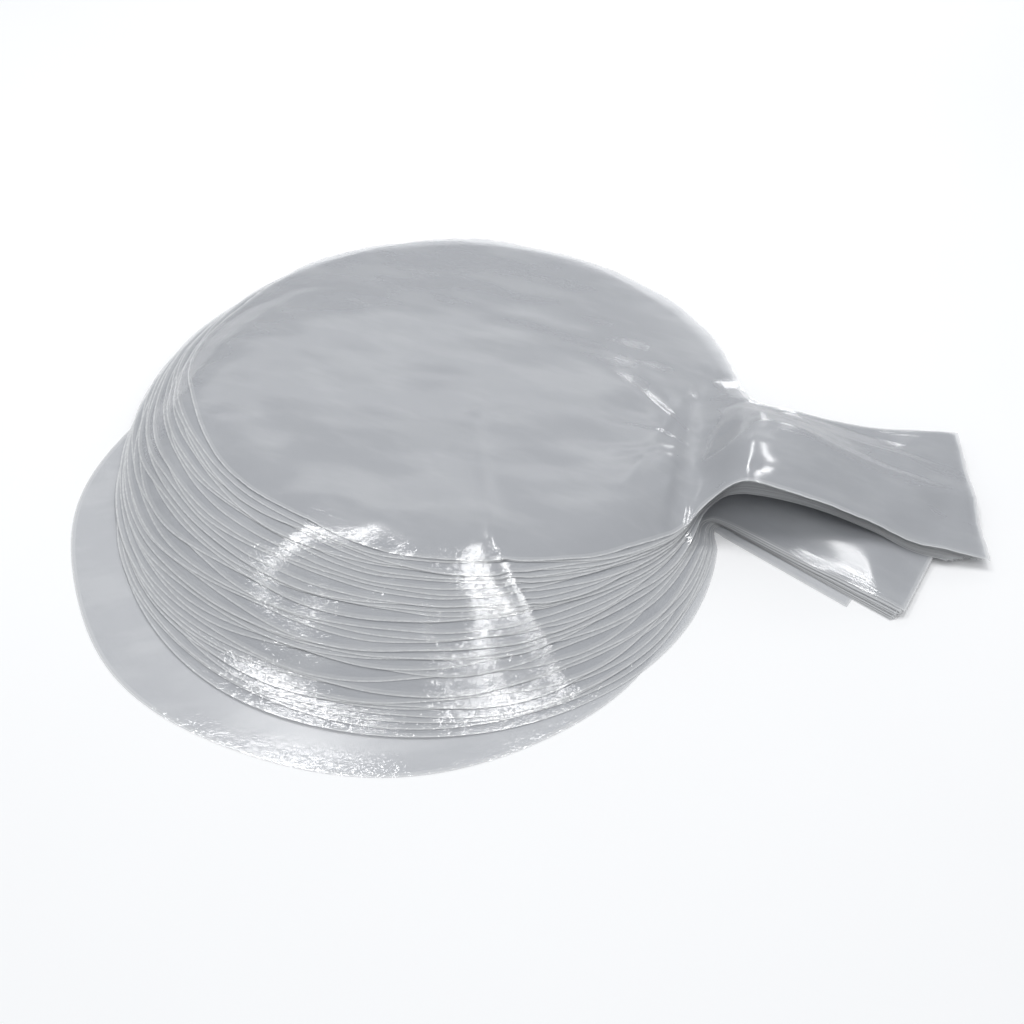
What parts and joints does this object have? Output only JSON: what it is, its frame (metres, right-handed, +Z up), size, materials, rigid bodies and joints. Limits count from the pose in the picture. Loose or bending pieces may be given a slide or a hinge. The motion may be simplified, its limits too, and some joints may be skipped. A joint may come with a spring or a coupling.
{
  "type": "pack of clear bubble balloons, uninflated",
  "caption": "Fanned pack of flat, uninflated clear film bubble balloons: round discs with wide strap necks gathered at one side, the upper necks arched.",
  "frame": {"origin": "centre of the pack's bounding box, on the surface that it lies on", "axes": "+X towards the balloons' necks, +Y away from the fanned front rims, +Z up"},
  "size_m": [0.462, 0.3946, 0.0349],
  "materials": {
    "clear_film": "clear glossy plastic film, faint cool grey"
  },
  "bodies": {
    "root": {"balloon_01": "clear_film", "balloon_02": "clear_film", "balloon_03": "clear_film", "balloon_04": "clear_film", "balloon_05": "clear_film", "balloon_06": "clear_film", "balloon_07": "clear_film", "balloon_08": "clear_film", "balloon_09": "clear_film", "balloon_10": "clear_film", "balloon_11": "clear_film", "balloon_12": "clear_film", "balloon_13": "clear_film", "balloon_14": "clear_film", "balloon_15": "clear_film", "balloon_16": "clear_film", "balloon_17": "clear_film", "balloon_18": "clear_film", "balloon_19": "clear_film", "balloon_20": "clear_film", "balloon_21": "clear_film", "balloon_22": "clear_film", "balloon_23": "clear_film", "balloon_24": "clear_film", "balloon_25": "clear_film", "balloon_26": "clear_film", "balloon_27": "clear_film", "balloon_28": "clear_film", "balloon_29": "clear_film", "balloon_30": "clear_film", "balloon_31": "clear_film", "balloon_32": "clear_film", "balloon_33": "clear_film", "balloon_34": "clear_film", "balloon_35": "clear_film", "balloon_36": "clear_film"}
  },
  "joints": []
}
